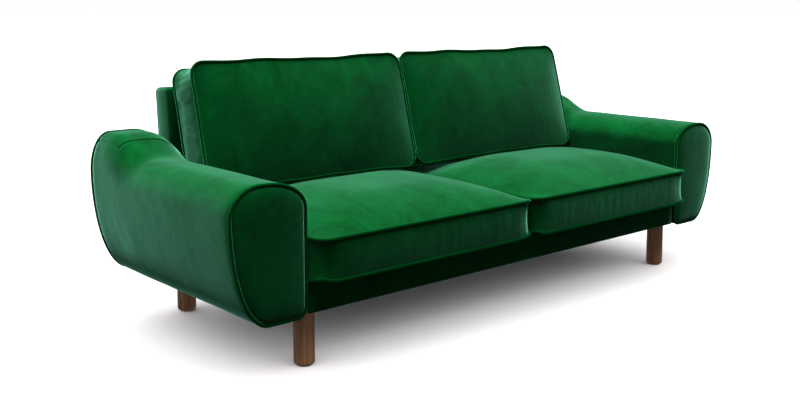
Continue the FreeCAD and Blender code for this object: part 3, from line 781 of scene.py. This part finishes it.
# %% Cushion shell
class Cushion:
    """A boxed cushion in its own frame: a across, b along, and n out of its face."""

    def __init__(self, half_a, half_b, corner, depth):
        self.half_a, self.half_b, self.corner, self.depth = half_a, half_b, corner, depth

    def rounded(self, u, v):
        """Plan place of grid point (u, v), each from -1 to 1, with the corners eased round."""
        a, b = u * self.half_a, v * self.half_b
        over_a = (abs(a) - (self.half_a - self.corner)) / self.corner
        over_b = (abs(b) - (self.half_b - self.corner)) / self.corner
        if over_a > 0 and over_b > 0:
            eased_a = over_a * math.sqrt(1.0 - over_b * over_b / 2)
            eased_b = over_b * math.sqrt(1.0 - over_a * over_a / 2)
            a = math.copysign(self.half_a - self.corner * (1.0 - eased_a), a)
            b = math.copysign(self.half_b - self.corner * (1.0 - eased_b), b)
        return a, b

    def outward(self, a, b):
        """Direction out of the rounded plan at a point of its rim."""
        over_a = max(abs(a) - (self.half_a - self.corner), 0.0)
        over_b = max(abs(b) - (self.half_b - self.corner), 0.0)
        way = Vector((math.copysign(over_a, a), math.copysign(over_b, b), 0.0))
        if way.length < 1e-6 or over_a == 0 or over_b == 0:
            gap_a, gap_b = self.half_a - abs(a), self.half_b - abs(b)
            way = Vector((math.copysign(1.0, a), 0, 0)) if gap_a < gap_b else \
                Vector((0, math.copysign(1.0, b), 0))
        return way.normalized()

    def seam(self, height, step=0.008, shift=0.0):
        """Points along the rim at a height, as the welt runs."""
        a, b, r = self.half_a + shift, self.half_b + shift, self.corner + shift
        out = []
        for cx, cy, start in ((a - r, -b + r, -90), (a - r, b - r, 0), (-a + r, b - r, 90),
                              (-a + r, -b + r, 180)):
            for i in range(11):
                turn = math.radians(start + 9.0 * i)
                out.append(Vector((cx + r * math.cos(turn), cy + r * math.sin(turn), height)))
        full = []
        for before, after in zip(out, out[1:] + out[:1]):
            count = max(int((after - before).length / step), 1)
            full += [before.lerp(after, i / count) for i in range(count)]
        return full

    def shell(self, cell, crown_out, crown_in, waist, layers):
        """The closed shell as a bmesh, with a vertex weight of 1 along its two seams."""
        shape = bmesh.new()
        held = shape.verts.layers.deform.verify()
        count_a, count_b = int(2 * self.half_a / cell), int(2 * self.half_b / cell)
        for crown, side in ((crown_out, 1), (crown_in, -1)):
            grid = bmesh.ops.create_grid(shape, x_segments=count_a, y_segments=count_b,
                                         size=1.0)["verts"]
            for vert in grid:
                u, v = vert.co.x, vert.co.y
                a, b = self.rounded(u, v)
                vert.co = (a, b, side * (self.depth / 2 + crown(u, v)))
                if max(abs(u), abs(v)) > 0.99999:
                    vert[held][0] = 1.0
            if side == 1:
                rim = [edge for edge in shape.edges if edge.is_boundary]
        for layer in range(1, layers + 1):
            share = layer / layers
            grown = bmesh.ops.extrude_edge_only(shape, edges=rim)["geom"]
            ring = [g for g in grown if isinstance(g, bmesh.types.BMVert)]
            pull = -waist * math.sin(math.pi * share) + waist * math.sin(
                math.pi * (layer - 1) / layers)
            for vert in ring:
                way = self.outward(vert.co.x, vert.co.y)
                vert.co += way * pull
                vert.co.z = self.depth * (0.5 - share)
                vert[held][0] = 1.0 if layer == layers else 0.0
            rim = [g for g in grown if isinstance(g, bmesh.types.BMEdge)]
        bmesh.ops.remove_doubles(shape, verts=shape.verts, dist=2e-5)
        return shape


def flat_crown(height, power):
    """Full in the middle, steep at the seams."""
    return lambda u, v: height * (1 - abs(u) ** power) * (1 - abs(v) ** power)


# %% [markdown]
# The simulation is short. The shell is given cloth with pressure inside and no gravity, cut
# very slightly too large, as a filled cover is. After 20 frames each point's move is capped,
# the result is kept in the mesh and the cloth is taken off. The cloth between the seams is
# then drawn smooth, as a hand does, and rules add what is too fine for the simulation: small
# gathers across the boxing, and the lower corners drawn up a little.

# %% Filling a cushion
def iron(made, rounds=10):
    """Draws the cloth between the seams smooth again, as a hand does after filling."""
    shape = bmesh.new()
    shape.from_mesh(made.data)
    held = shape.verts.layers.deform.verify()
    free = [vert for vert in shape.verts if vert[held].get(0, 0.0) < 0.5]
    for number in range(rounds):
        bmesh.ops.smooth_vert(shape, verts=free, factor=0.5, use_axis_x=True,
                              use_axis_y=True, use_axis_z=True)
    shape.to_mesh(made.data)
    shape.free()


def fill_out(made, pressure, cap, spare, frames=20):
    """Pressure cloth on a shell whose seams are held, applied with a cap on its moves."""
    start = [vert.co.copy() for vert in made.data.vertices]
    cloth = made.modifiers.new("filling", "CLOTH")
    settings = cloth.settings
    settings.quality = 4
    settings.mass = 0.25
    settings.tension_stiffness = settings.compression_stiffness = 18.0
    settings.shear_stiffness = 6.0
    settings.bending_stiffness = 2.5
    settings.use_pressure = True
    settings.uniform_pressure_force = pressure
    settings.vertex_group_mass = "seam"
    settings.pin_stiffness = 30.0
    settings.shrink_min = -spare
    settings.effector_weights.gravity = 0.0
    cloth.collision_settings.use_collision = False
    cloth.point_cache.frame_start, cloth.point_cache.frame_end = 1, frames
    for number in range(1, frames + 1):
        scene.frame_set(number)
    graph = bpy.context.evaluated_depsgraph_get()
    filled = made.evaluated_get(graph).data
    moved = [vert.co.copy() for vert in filled.vertices]
    made.modifiers.remove(cloth)
    scene.frame_set(1)
    furthest = 0.0
    for vert, before, after in zip(made.data.vertices, start, moved):
        step = after - before
        furthest = max(furthest, step.length)
        if step.length > cap:
            step *= cap / step.length
        vert.co = before + step
    made.data.update()
    iron(made)
    print("filled", made.name, "furthest move", round(furthest * 1000, 1), "mm")


def puckered(form, depth):
    """A rule that gathers the boxing into small folds across it, in the cushion's own axes."""
    def rule(p):
        across = max(1.0 - (abs(p.z) / (form.depth / 2)) ** 4, 0.0)
        out = form.outward(p.x, p.y)
        rim = form.half_a - abs(p.x) < 0.012 or form.half_b - abs(p.y) < 0.012
        if not rim or across <= 0.0:
            return p
        fold = noise.noise(Vector((p.x * 46.0, p.y * 46.0, 3.0 + p.z * 6.0)))
        fold += 0.5 * noise.noise(Vector((p.x * 95.0, p.y * 95.0, 8.0 + p.z * 9.0)))
        return p + out * (depth * across * (fold - 0.35))
    return rule


def tucked(form, lift, reach=0.075):
    """A rule that draws the lower seam up at the four corners, in the cushion's own axes."""
    def rule(p):
        gap = Vector((form.half_a - abs(p.x), form.half_b - abs(p.y))).length
        near = max(1.0 - gap / reach, 0.0)
        share = min(max(0.5 - p.z / form.depth, 0.0), 1.0)
        turn = min(near * 1.15, 1.0)
        return p + Vector((0, 0, lift * (1.0 - math.sqrt(1.0 - turn * turn)) * share))
    return rule


def settle(made, ease):
    """Moves every point of a piece by a rule."""
    for vert in made.data.vertices:
        vert.co = ease(vert.co)
    made.data.update()


# %% [markdown]
# The seat cushions are deep foam blocks with a rounded crown. The crown is full over the
# front two thirds and falls away under the back cushions, which press on it. They stand a
# little proud of the arms' fronts.

# %% Seat cushions
seat_low, seat_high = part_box("seat_cushion_right_piping")
half_seat = Vector(((seat_high.x - seat_low.x) / 2 - welt_radius,
                    (seat_high.y - seat_low.y) / 2 - welt_radius))
seat_middle = (seat_low + seat_high) / 2
lower_seam, upper_seam = seat_low.z + welt_radius, seat_high.z - welt_radius
crown_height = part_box("seat_cushion_right_cover")[1].z - upper_seam
seat_form = Cushion(half_seat.x, half_seat.y, 0.040, upper_seam - lower_seam)


def press(v):
    """1 on the open seat and nearly 0 where the back cushion stands on it."""
    y = seat_middle.y + v * half_seat.y
    share = min(max((y + 0.060) / 0.290, 0.0), 1.0)
    return 1.0 - share * share * (3 - 2 * share) * 0.955


def seat_crown(u, v):
    front = 1 - abs(v) ** 4.2 if v < 0 else 1.0
    rear = (1 - v ** 14) if v > 0 else 1.0
    return crown_height * 0.985 * (1 - abs(u) ** 4.0) * front * rear * press(v)


def seat_under(u, v):
    return 0.0012 * (1 - abs(u) ** 6) * (1 - abs(v) ** 6)


def seat_shape():
    return seat_form.shell(0.0092, seat_crown, seat_under, 0.004, 13)


def held_seat(point):
    """Keeps a seat cushion on the platform and between its neighbours."""
    return Vector((min(max(point.x, 0.0016), arm_inner - 0.0014), point.y,
                   max(point.z, deck_high.z + 0.0006)))


seat_tuck = tucked(seat_form, lift=0.016)
seat_place = Matrix.Translation((seat_middle.x, seat_middle.y, (lower_seam + upper_seam) / 2))
for side in ("right", "left"):
    body = f"seat_cushion_{side}"
    shape = seat_shape()
    made = piece(f"{body}_velvet", shape, body, velvet_cover,
                 (f"{body}_cover", f"{body}_foam"))
    made.vertex_groups.new(name="seam")
    fill_out(made, pressure=4.0, cap=0.009, spare=0.002)
    settle(made, puckered(seat_form, depth=0.0009))
    settle(made, seat_tuck)
    settle(made, lambda p: seat_place @ p)
    drift = Vector((3.0 if side == "right" else 11.0, 5.0, 0.0))
    settle(made, lambda p: p + Vector((0, 0, 0.0022 * noise.noise(p * 5.5 + drift)))
           * min(max((p.z - upper_seam) / 0.02, 0.0), 1.0))
    settle(made, held_seat)
    if side == "left":
        settle(made, lambda p: Vector((-p.x, p.y, p.z)))
        made.data.flip_normals()
    smoother(made)
    for name, height in (("upper", upper_seam), ("lower", lower_seam)):
        rim = seat_form.seam(height - (lower_seam + upper_seam) / 2)
        raised = Vector((0, 0, welt_full - welt_radius if name == "lower" else 0.0))
        line = [seat_place @ seat_tuck(p) + raised for p in rim]
        stands = (f"{body}_piping",) if name == "upper" else ()
        welt(f"{body}_{name}_welt", flipped(line, side), body, stands)

# %% [markdown]
# The back cushions are softer. They lean on the back, their lower edge follows the crown of
# the seat, and their top edge dips a little between its corners. That drift is written once
# as a rule and used for the shell and for its welts alike, so they stay together.

# %% Back cushions
back_form_depth = 0.120
lean_angle = math.radians(15.3)
back_welt_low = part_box("back_cushion_right_piping")[0]
cushion_tall = 0.418
back_form = Cushion(half_seat.x, cushion_tall / 2, 0.045, back_form_depth)
back_cushion_ahead = 0.219
foot_y = back_foot_y - back_cushion_ahead
foot_z = back_welt_low.z + welt_radius + back_form_depth * math.sin(lean_angle)
# The cushion's own axes: a is +X, b runs up the lean, and n points out of the front.
stand_up = (Matrix.Translation((seat_middle.x, foot_y, foot_z))
            @ Matrix.Rotation(-lean_angle, 4, "X")
            @ Matrix.Translation((0.0, back_form_depth / 2, cushion_tall / 2))
            @ Matrix.Rotation(math.radians(90.0), 4, "X"))


def back_drift(p, seed):
    """The easy line of a soft cushion, in its own axes."""
    u, v = p.x / back_form.half_a, p.y / back_form.half_b
    top, foot = max(v, 0.0) ** 2, max(-v, 0.0) ** 2
    rise = foot * 0.0105 * (1 - min(abs(u), 1.0) ** 2.5)
    rise -= top * 0.0050 * (1 - min(abs(u), 1.0) ** 2) * (1.0 + 0.6 * math.sin(u * 5 + seed))
    rise += 0.0012 * math.sin(u * 13 + seed) * (top + foot)
    sway = 0.0016 * math.sin(v * 4.0 + seed) * abs(u) ** 3
    return Vector((p.x + sway * 0.4, p.y + rise, p.z))


for side in ("right", "left"):
    seed = 0.6 if side == "right" else 2.9
    shape = back_form.shell(0.0088, flat_crown(0.0265, 3.0), flat_crown(0.0235, 3.4), 0.004, 13)
    body = f"back_cushion_{side}"
    made = piece(f"{body}_velvet", shape, body, velvet_cover,
                 (f"{body}_cover", f"{body}_filling"))
    made.vertex_groups.new(name="seam")
    fill_out(made, pressure=4.0, cap=0.010, spare=0.004)
    settle(made, puckered(back_form, depth=0.0042))
    settle(made, lambda p: back_drift(p, seed))
    settle(made, lambda p: stand_up @ p)
    settle(made, lambda p: Vector((min(max(p.x, 0.0016), arm_inner - 0.0014), p.y, p.z)))
    if side == "left":
        settle(made, lambda p: Vector((-p.x, p.y, p.z)))
        made.data.flip_normals()
    smoother(made)
    for name, height in (("front", back_form_depth / 2), ("rear", -back_form_depth / 2)):
        line = [stand_up @ back_drift(p, seed) for p in back_form.seam(height)]
        stands = (f"{body}_piping",) if name == "front" else ()
        welt(f"{body}_{name}_welt", flipped(line, side), body, stands)

# %% [markdown]
# Everything else in the frame already has its true shape, so those nodes stay and only get
# their finish. The record says which material slot each node has.

# %% Finishes for the frame's own nodes
finishes = {"velvet": velvet_cover, "piping": shaded_welt_velvet, "walnut": walnut, "felt": felt,
            "steel": steel, "plywood": plywood, "hardwood": hardwood, "foam": foam,
            "filling": foam, "webbing": webbing, "dust_cloth": underside_cloth,
            "deck_cloth": platform_cloth}
slots = {part["node"]: part["material_slot"] for part in frame["record"]["subparts"]}
for name, node in nodes.items():
    if node.hide_render:
        continue
    node.data.materials.clear()
    node.data.materials.append(finishes[slots[name]])
print("nodes left showing:", sum(not n.hide_render for n in nodes.values()))
